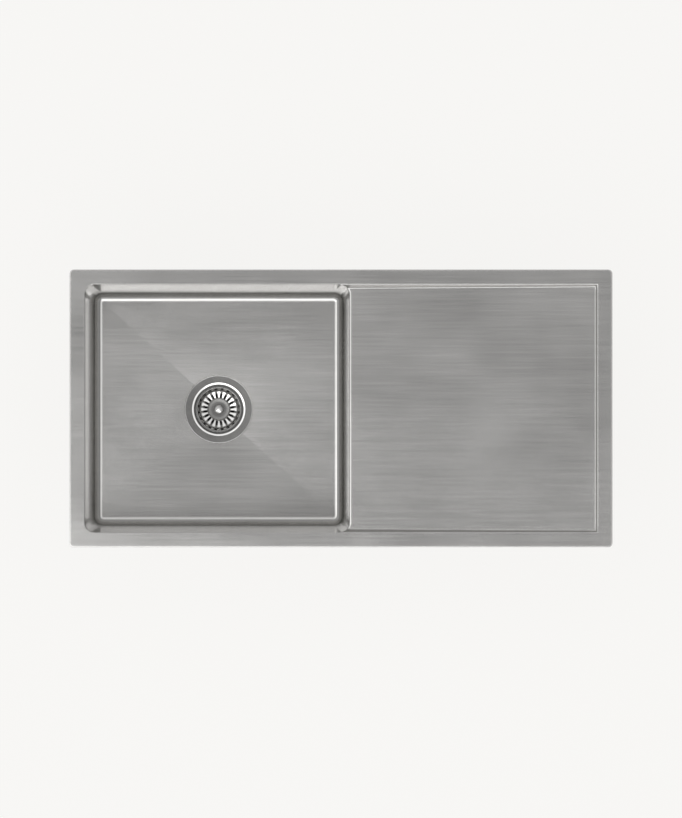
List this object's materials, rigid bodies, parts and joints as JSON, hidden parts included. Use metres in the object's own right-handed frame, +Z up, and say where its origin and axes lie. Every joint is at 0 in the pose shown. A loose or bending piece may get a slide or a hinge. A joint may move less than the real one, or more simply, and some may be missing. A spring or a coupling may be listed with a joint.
{
  "type": "kitchen sink with drainboard",
  "caption": "Inset kitchen sink in brushed stainless steel: one deep bowl, a sunk sloping drainboard, a lift-out basket strainer, and clips under a flat rim.",
  "frame": {"origin": "middle of the underside of the rim's foam seal, on the plane of the worktop", "axes": "+X along the sink towards the drainboard, +Y towards the back edge, +Z up"},
  "size_m": [0.86, 0.44, 0.3228],
  "materials": {
    "brushed_stainless": "grain brushed along the sink's length",
    "polished_stainless": "polished",
    "zinc_plated_steel": "dull zinc plate",
    "sound_pad": "matt",
    "foam": "closed-cell foam",
    "black_rubber": "matt",
    "white_plastic": "matt moulded",
    "grey_plastic": "matt moulded"
  },
  "bodies": {
    "sink": {"deck_panel": "brushed_stainless", "bowl": "brushed_stainless", "rim_seal": "foam", "pad_left": "sound_pad", "pad_right": "sound_pad", "pad_front": "sound_pad", "pad_back": "sound_pad", "pad_base_left": "sound_pad", "pad_base_right": "sound_pad", "pad_tray_near": "sound_pad", "pad_tray_middle": "sound_pad", "pad_tray_far": "sound_pad", "stiffener_1": "zinc_plated_steel", "stiffener_2": "zinc_plated_steel", "rail_front": "zinc_plated_steel", "rail_back": "zinc_plated_steel", "rail_left": "zinc_plated_steel", "rail_right": "zinc_plated_steel", "clip_bolts": "zinc_plated_steel", "clip_wing_nuts": "zinc_plated_steel", "strainer_body": "polished_stainless", "flange_gasket": "black_rubber", "underside_washer": "black_rubber", "friction_ring": "white_plastic", "locknut": "grey_plastic", "spider": "polished_stainless", "tailpiece": "grey_plastic", "tail_washer": "black_rubber", "slip_nut": "grey_plastic"},
    "basket": {"basket": "polished_stainless", "centre_disc": "polished_stainless", "guide_bush": "white_plastic"},
    "stopper": {"knob": "polished_stainless", "stem": "polished_stainless", "stopper": "black_rubber", "stopper_plate": "polished_stainless", "stem_nut": "polished_stainless"},
    "clip_arm_front_1": {"clip_arm_front_1": "zinc_plated_steel"},
    "clip_arm_front_2": {"clip_arm_front_2": "zinc_plated_steel"},
    "clip_arm_front_3": {"clip_arm_front_3": "zinc_plated_steel"},
    "clip_arm_back_1": {"clip_arm_back_1": "zinc_plated_steel"},
    "clip_arm_back_2": {"clip_arm_back_2": "zinc_plated_steel"},
    "clip_arm_back_3": {"clip_arm_back_3": "zinc_plated_steel"},
    "clip_arm_left": {"clip_arm_left": "zinc_plated_steel"},
    "clip_arm_right": {"clip_arm_right": "zinc_plated_steel"}
  },
  "joints": [
    {"name": "basket_lift", "type": "slide", "parent": "sink", "child": "basket", "axis": [0, 0, 1], "range_m": [0, 0.25]},
    {"name": "basket_knob_lift", "type": "slide", "parent": "basket", "child": "stopper", "axis": [0, 0, 1], "range_m": [0, 0.008]},
    {"name": "clip_front_1_swing", "type": "hinge", "parent": "sink", "child": "clip_arm_front_1", "pos_m": [-0.29, -0.2032, -0.038], "axis": [0, 0, -1], "range_deg": [0, 90]},
    {"name": "clip_front_2_swing", "type": "hinge", "parent": "sink", "child": "clip_arm_front_2", "pos_m": [0, -0.2032, -0.038], "axis": [0, 0, -1], "range_deg": [0, 90]},
    {"name": "clip_front_3_swing", "type": "hinge", "parent": "sink", "child": "clip_arm_front_3", "pos_m": [0.29, -0.2032, -0.038], "axis": [0, 0, -1], "range_deg": [0, 90]},
    {"name": "clip_back_1_swing", "type": "hinge", "parent": "sink", "child": "clip_arm_back_1", "pos_m": [-0.29, 0.2032, -0.038], "axis": [0, 0, -1], "range_deg": [0, 90]},
    {"name": "clip_back_2_swing", "type": "hinge", "parent": "sink", "child": "clip_arm_back_2", "pos_m": [0, 0.2032, -0.038], "axis": [0, 0, -1], "range_deg": [0, 90]},
    {"name": "clip_back_3_swing", "type": "hinge", "parent": "sink", "child": "clip_arm_back_3", "pos_m": [0.29, 0.2032, -0.038], "axis": [0, 0, -1], "range_deg": [0, 90]},
    {"name": "clip_left_swing", "type": "hinge", "parent": "sink", "child": "clip_arm_left", "pos_m": [-0.4132, 0, -0.038], "axis": [0, 0, -1], "range_deg": [0, 90]},
    {"name": "clip_right_swing", "type": "hinge", "parent": "sink", "child": "clip_arm_right", "pos_m": [0.4132, 0, -0.038], "axis": [0, 0, -1], "range_deg": [0, 90]}
  ]
}
